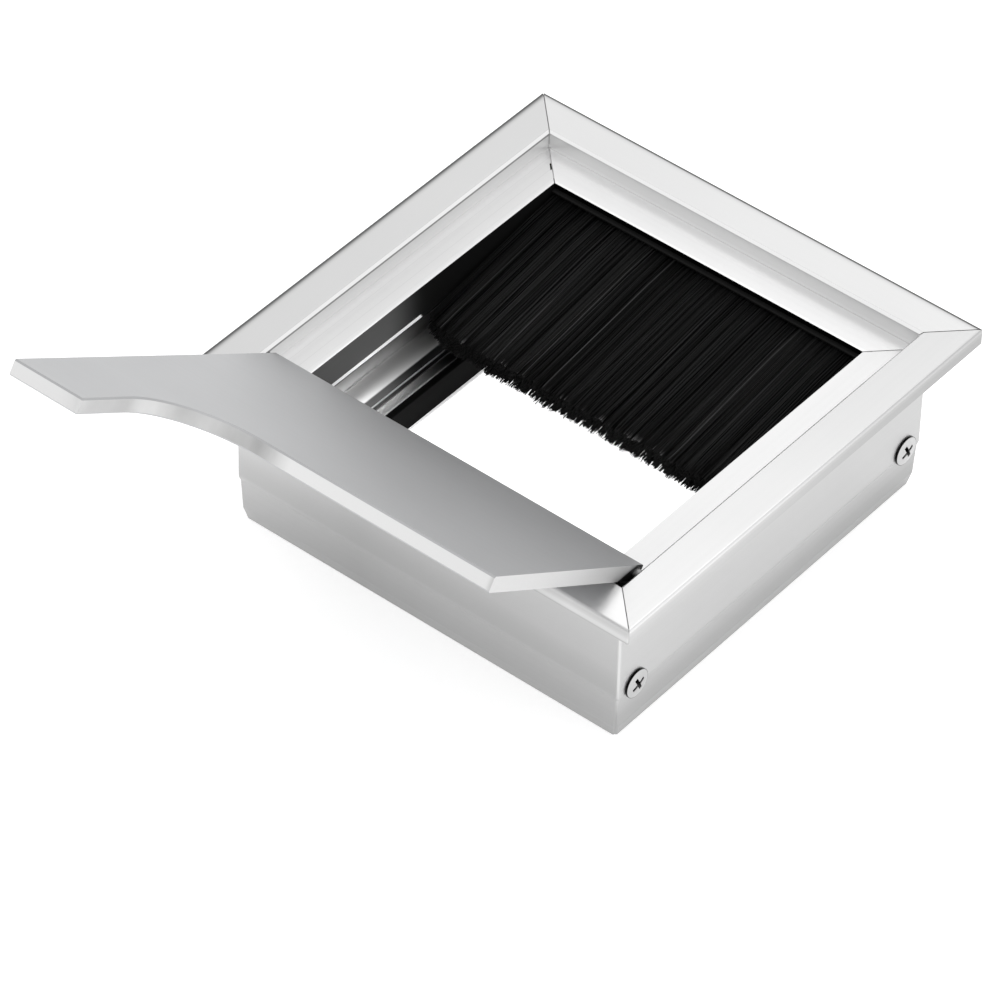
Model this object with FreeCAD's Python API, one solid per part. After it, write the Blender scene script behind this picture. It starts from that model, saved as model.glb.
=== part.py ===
import FreeCAD, Part
import math
import os

# Brush cable grommet: a square frame of four mitred aluminium lengths, held at its
# corners by screws, with a flip lid on two pins and a strip of bristles inside.
# All sizes are in millimetres. The origin is the middle of the frame's top face,
# +Z points up out of the worktop, and the lid is hinged along the -Y side.

# Frame, seen from above
frame_size = 80.0
flange_width = 6.4
ledge_width = 5.6
recess_wall = 1.0
mitre_gap = 0.02
mitre_line_width = 0.14
mitre_line_depth = 0.35
corner_bevel = 0.45
flange_corner_bevel = 0.3

# Frame section. The draw line is a soft step that runs round the outer wall. The bead
# runs along the upper lip's lower edge and carries the bristle bar.
total_height = 28.8
flange_thickness = 2.5
flange_edge_radius = 0.4
recess_edge_chamfer = 0.4
ledge_thickness = 1.2
wall_thickness = 1.2
floor_thickness = 1.2
lip_thickness = 1.2
lower_lip_height = 4.8
lip_bead = 0.28
lip_edge_radius = 0.3
draw_line_rise = 8.2
draw_line_step = 0.2
draw_line_height = 0.7
taper_inset = 0.4
foot_height = 2.2
foot_inset = 0.5

# Screw port, a C-shaped tube that runs inside each length of the frame
port_rise = 8.8
port_setback = 3.85
port_wall = 1.1
port_slot = 1.2
port_neck = 1.6

# Corner screws
screw_diameter = 2.5
screw_port_clearance = 0.05
screw_hole_clearance = 0.2
screw_length = 12.0
screw_tip_chamfer = 0.5
head_diameter = 4.6
head_rim_height = 0.3
head_dome_height = 0.3
cross_length = 2.7
cross_width = 0.6
cross_depth = 0.75
cross_taper = 0.55
cross_turn = 25.0

# Lid
lid_thickness = 2.4
lid_end_gap = 0.8
lid_tip_gap = 1.5
lid_floor_gap = 0.7
tongue_width = 12.0
cutout_depth = 24.1
cutout_radius = 13.0
lid_edge_chamfer = 0.25
nose_outer_radius = 1.0
nose_inner_radius = 0.25
lid_open_angle = 146.4
lid_open_gap = 0.3

# Hinge pins
pin_diameter = 1.5
pin_running_clearance = 0.05
pin_depth_in_lid = 6.0
pin_hole_skin = 0.2
pin_end_gap = 0.15
pin_chamfer = 0.15

# Brush
carrier_drop = 0.9
carrier_back = 0.2
carrier_foot = 0.25
carrier_bead_gap = 0.1
carrier_edge_radius = 0.2
carrier_end_gap = 0.15
groove_drop = 0.3
groove_depth = 0.6
bristle_thickness = 3.6
bristle_length = 29.8
bristle_bead_gap = 0.12
droop_angle = 8.5
droop_radius = 25.0
tuft_pitch = 2.0
tuft_gap = 0.4
tuft_relief = 0.45
short_wave = 0.27
short_wave_turn = 1.9
long_wave = 0.18
long_wave_turn = 0.47
core_setback = 0.7

# Places that follow from the sizes above
half_frame = frame_size / 2
half_recess = half_frame - flange_width
half_opening = half_recess - ledge_width
wall_outside = half_recess + recess_wall
wall_inside = wall_outside - wall_thickness
recess_depth = lid_thickness + lid_floor_gap
port_place = wall_outside - port_setback
port_depth = total_height - port_rise
screw_radius = screw_diameter / 2
port_bore = screw_radius + screw_port_clearance
lid_end = half_recess - lid_end_gap
pin_radius = pin_diameter / 2
pin_hole_end = wall_outside - pin_hole_skin
carrier_thickness = groove_depth + carrier_back
carrier_height = groove_drop + bristle_thickness + carrier_foot
bead_top = recess_depth + carrier_drop + carrier_height + carrier_bead_gap
upper_lip_bottom = bead_top + 2 * lip_bead
brush_half_width = half_opening - lip_bead - bristle_bead_gap
bend_length = droop_radius * math.radians(droop_angle)

# The lid's axis runs at half the lid's thickness. It lies far enough behind the
# flange for the open lid to lean over the flange's inner edge with a small gap.
hinge_height = -lid_thickness / 2
open_slope = math.radians(180 - lid_open_angle)
edge_reach = lid_thickness / 2 + lid_open_gap - hinge_height * math.cos(open_slope)
hinge_setback = edge_reach / math.sin(open_slope) - recess_edge_chamfer
hinge_place = -half_recess + hinge_setback

AXIS_X = FreeCAD.Vector(1, 0, 0)
AXIS_Z = FreeCAD.Vector(0, 0, 1)


def point(x, y, z):
    return FreeCAD.Vector(x, y, z)


def line(start, end):
    return Part.LineSegment(start, end).toShape()


def arc(start, middle, end):
    return Part.Arc(start, middle, end).toShape()


def polygon_face(points):
    """Flat face inside a closed run of straight edges."""
    return Part.Face(Part.makePolygon(points + [points[0]]))


def box_between(low, high):
    """Box from its lowest to its highest corner."""
    size = high - low
    return Part.makeBox(size.x, size.y, size.z, low)


def turned(shape, angle):
    """Copy of a shape turned about the frame's vertical centre line."""
    copy = shape.copy()
    copy.rotate(point(0, 0, 0), AXIS_Z, angle)
    return copy


def edges_along_x(shape, y, z):
    """Edges parallel to X that lie at one place of the section."""
    found = []
    for edge in shape.Edges:
        ends = [vertex.Point for vertex in edge.Vertexes]
        if len(ends) == 2 and all(abs(end.y - y) + abs(end.z - z) < 1e-4 for end in ends):
            found.append(edge)
    return found


def section_point(outward, depth):
    """Point of the -Y length's section, by its distance out and its depth."""
    return point(0, -outward, -depth)


def shell_section():
    """Flange, recess wall, lid ledge, two lips and outer wall, as one closed face."""
    bend = flange_edge_radius * (1 - math.sqrt(0.5))
    lip_inside = half_opening + lip_thickness
    draw_line = total_height - draw_line_rise
    after_line = wall_outside - draw_line_step
    above_foot = wall_outside - taper_inset
    top_round = arc(
        section_point(half_frame - flange_edge_radius, 0),
        section_point(half_frame - bend, bend),
        section_point(half_frame, flange_edge_radius))
    outline = [
        section_point(half_frame, flange_edge_radius),
        section_point(half_frame, flange_thickness),
        section_point(wall_outside, flange_thickness),
        section_point(wall_outside, draw_line),
        section_point(after_line, draw_line + draw_line_height),
        section_point(above_foot, total_height - foot_height),
        section_point(wall_outside - taper_inset - foot_inset, total_height),
        section_point(half_opening, total_height),
        section_point(half_opening, total_height - lower_lip_height),
        section_point(lip_inside, total_height - lower_lip_height),
        section_point(lip_inside, total_height - floor_thickness),
        section_point(wall_inside, total_height - floor_thickness),
        section_point(wall_inside, recess_depth + ledge_thickness),
        section_point(lip_inside, recess_depth + ledge_thickness),
        section_point(lip_inside, upper_lip_bottom),
        section_point(half_opening - lip_bead, upper_lip_bottom),
        section_point(half_opening - lip_bead, bead_top + lip_bead),
        section_point(half_opening, bead_top),
        section_point(half_opening, recess_depth),
        section_point(half_recess, recess_depth),
        section_point(half_recess, recess_edge_chamfer),
        section_point(half_recess + recess_edge_chamfer, 0),
        section_point(half_frame - flange_edge_radius, 0)]
    edges = [top_round]
    for start, end in zip(outline, outline[1:]):
        edges.append(line(start, end))
    return Part.Face(Part.Wire(edges))


def port_body(length):
    """Screw port along X: a tube on a neck, slit open towards the opening."""
    start = point(-length / 2, -port_place, -port_depth)
    outside = Part.makeCylinder(port_bore + port_wall, length, start, AXIS_X)
    neck = box_between(
        point(-length / 2, -wall_inside - wall_thickness / 2, -port_depth - port_neck / 2),
        point(length / 2, -port_place, -port_depth + port_neck / 2))
    return outside.fuse(neck)


def port_hollow(length):
    """Bore and slit of the screw port."""
    start = point(-length / 2, -port_place, -port_depth)
    bore = Part.makeCylinder(port_bore, length, start, AXIS_X)
    slit = box_between(
        point(-length / 2, -port_place, -port_depth - port_slot / 2),
        point(length / 2, -half_opening, -port_depth + port_slot / 2))
    return bore.fuse(slit)


def mitre_wedge():
    """Triangular prism between the two 45 degree cuts of the -Y length."""
    apex = mitre_gap / math.sqrt(2)
    reach = frame_size
    corners = [
        point(0, -apex, 0),
        point(-reach, -apex - reach, 0),
        point(reach, -apex - reach, 0)]
    prism = polygon_face(corners).extrude(point(0, 0, -2 * total_height))
    prism.translate(point(0, 0, total_height / 2))
    return prism


def mitre_line(inner, outer, bottom):
    """Fine groove that runs along the mitre between two distances from the middle."""
    half_width = mitre_line_width / 2
    groove = box_between(
        point(inner * math.sqrt(2), -half_width, bottom),
        point(outer * math.sqrt(2), half_width, total_height))
    groove.rotate(point(0, 0, 0), AXIS_Z, -45)
    return groove


def bevelled_corner():
    """Everything on the inside of a corner bevel that follows the flange and the wall."""
    reach = 2 * frame_size
    below = 2 * total_height
    draw_line = total_height - draw_line_rise
    steps = [
        (half_frame + (corner_bevel - flange_corner_bevel) / 2, flange_thickness),
        (wall_outside, flange_thickness),
        (wall_outside, draw_line),
        (wall_outside - draw_line_step, draw_line + draw_line_height),
        (wall_outside - taper_inset, total_height - foot_height),
        (wall_outside - taper_inset - foot_inset, total_height)]
    outline = []
    for outward, depth in steps:
        outline.append(point((2 * outward - corner_bevel) / math.sqrt(2), -reach, -depth))
    outline.insert(0, point(outline[0].x, -reach, below))
    outline.insert(0, point(-reach, -reach, below))
    outline.append(point(outline[-1].x, -reach, -below))
    outline.append(point(-reach, -reach, -below))
    prism = polygon_face(outline).extrude(point(0, 2 * reach, 0))
    prism.rotate(point(0, 0, 0), AXIS_Z, -45)
    return prism


def mirrored_x(shape):
    return shape.mirror(point(0, 0, 0), AXIS_X)


def frame_length():
    """One mitred length of the frame, at the -Y side."""
    length = 2 * frame_size
    shell = shell_section().extrude(point(length, 0, 0))
    shell.translate(point(-length / 2, 0, 0))
    body = shell.fuse(port_body(length)).cut(port_hollow(length))
    lip_edges = edges_along_x(body, -half_opening, lower_lip_height - total_height)
    body = body.makeFillet(lip_edge_radius, lip_edges).common(mitre_wedge())
    lines = mitre_line(half_recess, half_frame + flange_width, -mitre_line_depth)
    lines = lines.fuse(mitre_line(half_opening - ledge_width, half_recess, -recess_depth - mitre_line_depth))
    corner = bevelled_corner()
    body = body.common(corner).common(mirrored_x(corner))
    return body.cut(lines).cut(mirrored_x(lines)).removeSplitter()


def side_length(plain):
    """The +X length: drilled for two corner screws and bored for a hinge pin."""
    body = plain
    for side in (-1, 1):
        start = point(half_frame, side * port_place, -port_depth)
        hole = Part.makeCylinder(
            screw_radius + screw_hole_clearance, half_frame - half_opening, start, -AXIS_X)
        body = body.cut(hole)
    pin_hole = Part.makeCylinder(
        pin_radius + pin_running_clearance, pin_hole_end - half_opening,
        point(half_opening, hinge_place, hinge_height), AXIS_X)
    return body.cut(pin_hole)


def cross_rectangle(x, share):
    """Outline of one arm of the cross at one X, at a share of its full size."""
    half_y = share * cross_length / 2
    half_z = share * cross_width / 2
    corners = [
        point(x, -half_y, -half_z),
        point(x, half_y, -half_z),
        point(x, half_y, half_z),
        point(x, -half_y, half_z)]
    return Part.makePolygon(corners + [corners[0]])


def cross_recess():
    """Cross-shaped driver recess, narrower at its bottom, in a head that faces +X."""
    flat_arm = Part.makeLoft([cross_rectangle(-cross_depth, cross_taper), cross_rectangle(0, 1)], True)
    upright_arm = flat_arm.copy()
    upright_arm.rotate(point(0, 0, 0), AXIS_X, 90)
    recess = flat_arm.fuse(upright_arm)
    recess.rotate(point(0, 0, 0), AXIS_X, cross_turn)
    return recess


def corner_screw():
    """Pan-head screw on the X axis, with its head's seat at X = 0 and its tip at -X."""
    rim = head_diameter / 2
    crown = head_rim_height + head_dome_height
    dome_radius = (rim ** 2 + head_dome_height ** 2) / (2 * head_dome_height)
    bow_x = math.sqrt(dome_radius ** 2 - (rim / 2) ** 2) - dome_radius + crown
    outline = [
        point(crown, 0, 0),
        point(-screw_length, 0, 0),
        point(-screw_length, screw_radius - screw_tip_chamfer, 0),
        point(-screw_length + screw_tip_chamfer, screw_radius, 0),
        point(0, screw_radius, 0),
        point(0, rim, 0),
        point(head_rim_height, rim, 0)]
    edges = [arc(outline[-1], point(bow_x, rim / 2, 0), outline[0])]
    for start, end in zip(outline, outline[1:]):
        edges.append(line(start, end))
    turned_body = Part.Face(Part.Wire(edges)).revolve(point(0, 0, 0), AXIS_X, 360)
    recess = cross_recess()
    recess.translate(point(crown, 0, 0))
    return turned_body.cut(recess)


def placed_screw(side):
    """Corner screw in the +X wall, towards the -Y or +Y corner."""
    screw = corner_screw()
    screw.translate(point(wall_outside, side * port_place, -port_depth))
    return screw


def lid_outline():
    """Lid seen from above when shut: a tongue on the left and a round cable cut-out."""
    rear = hinge_place - lid_thickness / 2
    tip = half_recess - lid_tip_gap
    front = tip - cutout_depth
    tongue = tongue_width - lid_end
    bend = cutout_radius * (1 - math.sqrt(0.5))
    outline = [
        point(tongue, front + cutout_radius, 0),
        point(tongue, tip, 0),
        point(-lid_end, tip, 0),
        point(-lid_end, rear, 0),
        point(lid_end, rear, 0),
        point(lid_end, front, 0),
        point(tongue + cutout_radius, front, 0)]
    edges = [arc(outline[-1], point(tongue + bend, front + bend, 0), outline[0])]
    for start, end in zip(outline, outline[1:]):
        edges.append(line(start, end))
    return Part.Face(Part.Wire(edges))


def shut_lid():
    """Lid plate with a rounded hinge edge, eased rims and a bore for each pin."""
    plate = lid_outline().extrude(point(0, 0, -lid_thickness))
    rear = hinge_place - lid_thickness / 2
    plate = plate.makeFillet(nose_outer_radius, edges_along_x(plate, rear, 0))
    plate = plate.makeFillet(nose_inner_radius, edges_along_x(plate, rear, -lid_thickness))
    rims = []
    for edge in plate.Edges:
        heights = [vertex.Point.z for vertex in edge.Vertexes]
        flat = max(heights) - min(heights) < 1e-6
        on_rim = min(abs(heights[0]), abs(heights[0] + lid_thickness)) < 1e-6
        behind_nose = min(vertex.Point.y for vertex in edge.Vertexes) > hinge_place + 1e-6
        if flat and on_rim and behind_nose:
            rims.append(edge)
    plate = plate.makeChamfer(lid_edge_chamfer, rims)
    for side in (-1, 1):
        start = point(side * (lid_end - pin_depth_in_lid), hinge_place, hinge_height)
        bore = Part.makeCylinder(pin_radius, 2 * pin_depth_in_lid, start, side * AXIS_X)
        plate = plate.cut(bore)
    return plate


def open_lid():
    """Lid turned about its pins to the stop, where it leans over the flange."""
    lid = shut_lid()
    lid.rotate(point(0, hinge_place, hinge_height), AXIS_X, lid_open_angle)
    return lid


def hinge_pin():
    """Pin at the +X end: pressed into the lid, free to turn in the frame."""
    inner = lid_end - pin_depth_in_lid
    outer = pin_hole_end - pin_end_gap
    pin = Part.makeCylinder(pin_radius, outer - inner, point(inner, hinge_place, hinge_height), AXIS_X)
    end_circles = [edge for edge in pin.Edges if edge.Curve.TypeId == "Part::GeomCircle"]
    return pin.makeChamfer(pin_chamfer, end_circles)


def brush_carrier():
    """Bar against the back length's upper lip, grooved for the bristles."""
    half_width = half_opening - carrier_end_gap
    top = -recess_depth - carrier_drop
    front = half_opening - carrier_thickness
    bar = box_between(
        point(-half_width, front, top - carrier_height),
        point(half_width, half_opening, top))
    rounded = edges_along_x(bar, front, top) + edges_along_x(bar, front, top - carrier_height)
    bar = bar.makeFillet(carrier_edge_radius, rounded)
    groove_top = top - groove_drop
    groove = box_between(
        point(-half_width, front - groove_depth, groove_top - bristle_thickness),
        point(half_width, front + groove_depth, groove_top))
    return bar.cut(groove)


def bristle_root():
    """Middle of the carrier's groove mouth, where the bristles come out."""
    middle = -recess_depth - carrier_drop - groove_drop - bristle_thickness / 2
    return point(0, half_opening - carrier_thickness, middle)


def bristle_point(along, offset):
    """Point of the drooping brush: a short bend at the root, then straight."""
    root = bristle_root()
    angle = math.radians(droop_angle) * min(max(along / bend_length, 0), 1)
    straight = max(along - bend_length, 0) + min(along, 0)
    forward = (droop_radius + offset) * math.sin(angle) + straight * math.cos(angle)
    rise = (droop_radius + offset) * math.cos(angle) - droop_radius - straight * math.sin(angle)
    return point(0, root.y - forward, root.z + rise)


def bristle_face(upper, lower, length):
    """Side view of the brush between two heights off its middle line."""
    edges = []
    for offset in (upper, lower):
        edges.append(line(bristle_point(-groove_depth, offset), bristle_point(0, offset)))
        edges.append(arc(bristle_point(0, offset), bristle_point(bend_length / 2, offset),
                         bristle_point(bend_length, offset)))
        edges.append(line(bristle_point(bend_length, offset), bristle_point(length, offset)))
    edges.append(line(bristle_point(-groove_depth, upper), bristle_point(-groove_depth, lower)))
    edges.append(line(bristle_point(length, upper), bristle_point(length, lower)))
    return Part.Face(Part.Wire(Part.__sortEdges__(edges)))


def brush_bristles():
    """Full-width core with a row of tufts on it, each a little longer or shorter."""
    half_width = brush_half_width
    half_thick = bristle_thickness / 2
    core = bristle_face(half_thick - tuft_relief, -half_thick + tuft_relief, bristle_length - core_setback)
    solid = core.extrude(point(2 * half_width, 0, 0))
    solid.translate(point(-half_width, 0, 0))
    count = int(2 * half_width / tuft_pitch)
    tufts = []
    for index in range(count):
        middle = (index - (count - 1) / 2) * tuft_pitch
        wave = short_wave * math.sin(short_wave_turn * index) + long_wave * math.cos(long_wave_turn * index)
        tuft = bristle_face(half_thick, -half_thick, bristle_length + wave)
        tuft = tuft.extrude(point(tuft_pitch - tuft_gap, 0, 0))
        tuft.translate(point(middle - (tuft_pitch - tuft_gap) / 2, 0, 0))
        tufts.append(tuft)
    return solid.fuse(tufts).removeSplitter()


def all_parts():
    """Every piece by its name, with the lid open."""
    plain = frame_length()
    side = side_length(turned(plain, 90))
    pin = hinge_pin()
    screw_front = placed_screw(-1)
    screw_back = placed_screw(1)
    return {
        "frame_front": plain,
        "frame_right": side,
        "frame_back": turned(plain, 180),
        "frame_left": mirrored_x(side),
        "lid": open_lid(),
        "hinge_pin_right": pin,
        "hinge_pin_left": mirrored_x(pin),
        "corner_screw_front_right": screw_front,
        "corner_screw_back_right": screw_back,
        "corner_screw_front_left": mirrored_x(screw_front),
        "corner_screw_back_left": mirrored_x(screw_back),
        "brush_carrier": brush_carrier(),
        "brush_bristles": brush_bristles(),
    }


def main():
    os.makedirs("parts", exist_ok=True)
    for name, shape in all_parts().items():
        solid = shape.Solids[0] if len(shape.Solids) == 1 else shape
        solid.exportStep(os.path.join("parts", name + ".step"))
        print(name, "solids", len(shape.Solids), "valid", shape.isValid(), "mm3", round(shape.Volume, 1))
    print("hinge at y", round(hinge_place, 3), "z", round(hinge_height, 3))


main()
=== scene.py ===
# %% [markdown]
# # A brush cable grommet, dressed for a studio picture
#
# A cable grommet lines a square hole in a desk. This one is a frame of four mitred
# aluminium lengths with a flip lid, and a strip of bristles closes the hole round the
# cables. The frame, the lid, the pins and the screws are finished solids already, so
# they keep their shape here and only get their surface. The bristles arrive as one
# plain block, and this lesson replaces it with thousands of separate filaments.
#
# The first step loads the solids, and part_box reads a solid's box for later use.

# %% Load the finished solids
import math
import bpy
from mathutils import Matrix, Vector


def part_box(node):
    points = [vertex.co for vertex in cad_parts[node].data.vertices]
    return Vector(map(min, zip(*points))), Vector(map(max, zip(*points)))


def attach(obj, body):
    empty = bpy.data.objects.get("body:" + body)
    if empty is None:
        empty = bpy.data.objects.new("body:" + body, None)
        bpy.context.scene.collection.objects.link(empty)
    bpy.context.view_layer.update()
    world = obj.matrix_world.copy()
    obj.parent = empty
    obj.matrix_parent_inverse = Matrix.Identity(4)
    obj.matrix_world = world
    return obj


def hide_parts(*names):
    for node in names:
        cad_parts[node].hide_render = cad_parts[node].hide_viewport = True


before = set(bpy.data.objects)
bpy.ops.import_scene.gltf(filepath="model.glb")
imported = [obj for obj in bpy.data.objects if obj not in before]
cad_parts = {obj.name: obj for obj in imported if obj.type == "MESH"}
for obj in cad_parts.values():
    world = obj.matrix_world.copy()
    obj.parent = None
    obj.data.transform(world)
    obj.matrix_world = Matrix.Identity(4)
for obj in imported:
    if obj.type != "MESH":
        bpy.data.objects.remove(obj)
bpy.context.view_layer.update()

from types import SimpleNamespace

import bpy
import numpy as np
from mathutils import Matrix, Vector

MM = 0.001
print("solids:", sorted(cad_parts))

# %% [markdown]
# ## Helpers for materials
#
# A procedural material is a small graph of nodes: a place on the piece goes in at one
# end, and a colour, a gloss or a bump comes out at the other. Wired one by one, the
# nodes of this object would fill many pages. Each helper below adds one or two nodes
# and hands back the socket with the result, so that a material reads like a list.
#
# Zones of a surface are written as shares: numbers from 0 to 1 that say how much a
# zone holds at a place. Shares multiplied cut a zone down to where all of them are 1,
# and a share blends one tone into another.

# %% Helpers that start and finish a material
def grey(value):
    """Neutral colour of one brightness."""
    return (value, value, value)


def new_material(name):
    """Plain node material, with its node tree and its surface shader."""
    material = bpy.data.materials.new(name)
    material.use_nodes = True
    tree = material.node_tree
    return material, tree, tree.nodes["Principled BSDF"]


def stretched_noise(tree, scale, detail=3.0):
    """Noise on the piece's own coordinates: scale gives the waves per metre along X, Y and Z."""
    place = tree.nodes.new("ShaderNodeTexCoord")
    mapping = tree.nodes.new("ShaderNodeMapping")
    mapping.inputs["Scale"].default_value = scale
    noise = tree.nodes.new("ShaderNodeTexNoise")
    noise.inputs["Scale"].default_value = 1.0
    noise.inputs["Detail"].default_value = detail
    tree.links.new(place.outputs["Object"], mapping.inputs["Vector"])
    tree.links.new(mapping.outputs["Vector"], noise.inputs["Vector"])
    return noise.outputs["Fac"]


def place_on_piece(tree):
    """X, Y and Z sockets of the place on the piece, in metres."""
    place = tree.nodes.new("ShaderNodeTexCoord")
    split = tree.nodes.new("ShaderNodeSeparateXYZ")
    tree.links.new(place.outputs["Object"], split.inputs["Vector"])
    return split.outputs["X"], split.outputs["Y"], split.outputs["Z"]


def add_bump(tree, shader, height, distance):
    """Raises the surface by height times distance, in metres."""
    node = tree.nodes.new("ShaderNodeBump")
    node.inputs["Distance"].default_value = distance
    node.inputs["Strength"].default_value = 1.0
    tree.links.new(height, node.inputs["Height"])
    tree.links.new(node.outputs["Normal"], shader.inputs["Normal"])


print("material helpers are ready")


# %% Helpers for numbers and shares
def math_node(tree, operation, first, second=0.0):
    """One sum, difference, greater of two or the like, of sockets or plain numbers."""
    node = tree.nodes.new("ShaderNodeMath")
    node.operation = operation
    for socket, value in zip(node.inputs, (first, second)):
        if isinstance(value, (int, float)):
            socket.default_value = value
        else:
            tree.links.new(value, socket)
    return node.outputs[0]


def product(tree, first, *others):
    """All values multiplied. A product of shares is 1 only where every one of them is 1."""
    result = first
    for other in others:
        result = math_node(tree, "MULTIPLY", result, other)
    return result


def remap(tree, value, low, high):
    """Low plus a 0 to 1 value times the way from low to high."""
    node = tree.nodes.new("ShaderNodeMapRange")
    node.inputs["To Min"].default_value = low
    node.inputs["To Max"].default_value = high
    tree.links.new(value, node.inputs["Value"])
    return node.outputs["Result"]


def soft_step(tree, value, start, end):
    """0 where the value is below start, 1 above end, and a smooth rise between them."""
    node = tree.nodes.new("ShaderNodeMapRange")
    node.interpolation_type = "SMOOTHSTEP"
    node.inputs["From Min"].default_value = start
    node.inputs["From Max"].default_value = end
    tree.links.new(value, node.inputs["Value"])
    return node.outputs["Result"]


def rest_of(tree, share):
    """1 minus a share."""
    return math_node(tree, "SUBTRACT", 1.0, share)


def rises(tree, value, start, end):
    """Share that goes from 0 to 1 while a length goes from start to end, both in mm."""
    return soft_step(tree, value, start * MM, end * MM)


def falls(tree, value, start, end):
    """Share that goes from 1 to 0 while a length goes from start to end, both in mm."""
    return rest_of(tree, rises(tree, value, start, end))


def band(tree, value, low, high, soft=0.02):
    """1 where a length lies between low and high, 0 outside, with soft ends, all in mm."""
    return math_node(
        tree, "SUBTRACT", rises(tree, value, low - soft, low), rises(tree, value, high, high + soft))


print("number and share helpers are ready")


# %% Helpers for tones
def blend(tree, share, first, second):
    """Colour between two sockets or colours: the first where the share is 0, the second at 1."""
    node = tree.nodes.new("ShaderNodeMix")
    node.data_type = "RGBA"
    for name, value in (("A", first), ("B", second)):
        if isinstance(value, tuple):
            node.inputs[name].default_value = (*value, 1)
        else:
            tree.links.new(value, node.inputs[name])
    tree.links.new(share, node.inputs["Factor"])
    return node.outputs["Result"]


def ramp(tree, value, stops):
    """Tone that follows a length through a table of places in mm and tones, straight in between."""
    low = stops[0][0]
    high = stops[-1][0]
    share = tree.nodes.new("ShaderNodeMapRange")
    share.inputs["From Min"].default_value = low * MM
    share.inputs["From Max"].default_value = high * MM
    tree.links.new(value, share.inputs["Value"])
    node = tree.nodes.new("ShaderNodeValToRGB")
    elements = node.color_ramp.elements
    elements[0].color = (*grey(stops[0][1]), 1)
    elements[1].color = (*grey(stops[-1][1]), 1)
    for place, tone in stops[1:-1]:
        element = elements.new((place - low) / (high - low))
        element.color = (*grey(tone), 1)
    tree.links.new(share.outputs["Result"], node.inputs["Fac"])
    return node.outputs["Color"]


def dress(node, material):
    """Gives a finished solid its surface, in every material slot that it has."""
    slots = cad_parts[node].material_slots
    for place in slots:
        place.material = material
    print(node, "slots dressed:", len(slots))


print("tone helpers are ready")

# %% [markdown]
# ## Drawn and anodised aluminium
#
# The four lengths are pushed through a die, which leaves fine lines along them, and
# are then etched and anodised, which turns the shine into a soft satin. Painted lines
# would look flat, so the noise is stretched three hundred times along the grain and
# changes the gloss, and it raises the surface by far less than a hair. The anodising
# itself is a little cloudy, so a second, broad noise shifts the colour. The grain
# follows X on the front and back lengths and Y on the side lengths.

# %% Satin metal with a grain
GRAINS = {"x": (6, 1900, 1900), "y": (1900, 6, 1900)}
CLOUDS = (45, 45, 45)
GRAIN_HEIGHT = 0.000003


def grained_metal(name, grain, dark, light, roughness):
    """Satin metal whose lines run along one axis: the material, its tree, shader and colour."""
    material, tree, shader = new_material(name)
    fine = stretched_noise(tree, grain)
    colour = blend(tree, stretched_noise(tree, CLOUDS, detail=2.0), dark, light)
    tree.links.new(colour, shader.inputs["Base Color"])
    tree.links.new(remap(tree, fine, *roughness), shader.inputs["Roughness"])
    add_bump(tree, shader, fine, GRAIN_HEIGHT)
    shader.inputs["Metallic"].default_value = 1.0
    return material, tree, shader, colour


print("grains:", GRAINS)

# %% [markdown]
# ## Zones of the frame's section
#
# One extruded section has many faces: the flange and its edge, the outer wall, the
# recess, the ledge, and inside it the lips and the channel. Each takes the etch and
# the light a little differently, and grime and wear gather at its own lines. The
# faces could be split into many materials, but then every border would be a hard cut.
# Here one material finds the face by itself, from two lengths: how far out a place
# lies and how deep. The sizes below are those of the solids, in mm.

# %% Sizes of the section
FLANGE_EDGE = 40.0
FLANGE_THICKNESS = 2.5
RECESS_WALL = 33.6
LEDGE_DEPTH = 3.1
LIP_FACE = 28.0
BEAD_TOP = 8.20
BEAD_FOOT = 8.56
LOWER_LIP_TOP = 24.0
LID_END_X = 32.8
BEAD_END_Y = -2.1


def place_on_section(tree, grain_axis):
    """Sockets and shares that say where a place lies on the frame's section.

    Outward is the greater of the distances from the middle along X and Y. Depth is the
    way down from the flange's top. Off_mitre is the difference of the two distances,
    which is 0 on the joint's diagonal. A place counts as outside past the middle of the
    recess wall, and below the ledge already from the wall's inner face.
    """
    x, y, z = place_on_piece(tree)
    at = SimpleNamespace(y=y, along={"x": x, "y": y}[grain_axis])
    at.aside = math_node(tree, "ABSOLUTE", x)
    ahead = math_node(tree, "ABSOLUTE", y)
    at.outward = math_node(tree, "MAXIMUM", at.aside, ahead)
    at.off_mitre = math_node(tree, "ABSOLUTE", math_node(tree, "SUBTRACT", at.aside, ahead))
    at.depth = math_node(tree, "MULTIPLY", z, -1.0)
    at.under_ledge = rises(tree, at.depth, LEDGE_DEPTH + 0.4, LEDGE_DEPTH + 0.6)
    on_wall = product(
        tree, rises(tree, at.outward, RECESS_WALL - 0.15, RECESS_WALL - 0.05), at.under_ledge)
    past_recess = rises(tree, at.outward, RECESS_WALL + 0.35, RECESS_WALL + 0.40)
    at.outside = math_node(tree, "MAXIMUM", past_recess, on_wall)
    at.inside = rest_of(tree, at.outside)
    at.under_flange = rises(tree, at.depth, FLANGE_THICKNESS - 0.04, FLANGE_THICKNESS - 0.01)
    at.on_flange = rest_of(tree, at.under_flange)
    return at


print("ledge depth and lip face in mm:", LEDGE_DEPTH, LIP_FACE)

# %% [markdown]
# ## Flange and outer wall
#
# Satin metal mirrors its surroundings as a blur, so each flat face shows a slow change
# of tone, and each rounded edge a quick one. The studio below is simpler than a real
# one, so tables paint in the light and shade that it misses: tones by depth, by the
# distance out, and by the place along the length, with straight lines between their
# entries. A length seen from within has a table for its rim, and one seen from outside
# has a table for its edge.

# %% Outer tones
FAR_SIDE_SHADE = 0.55
WALL_CORNER_HIGHLIGHT = 0.72


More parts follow.
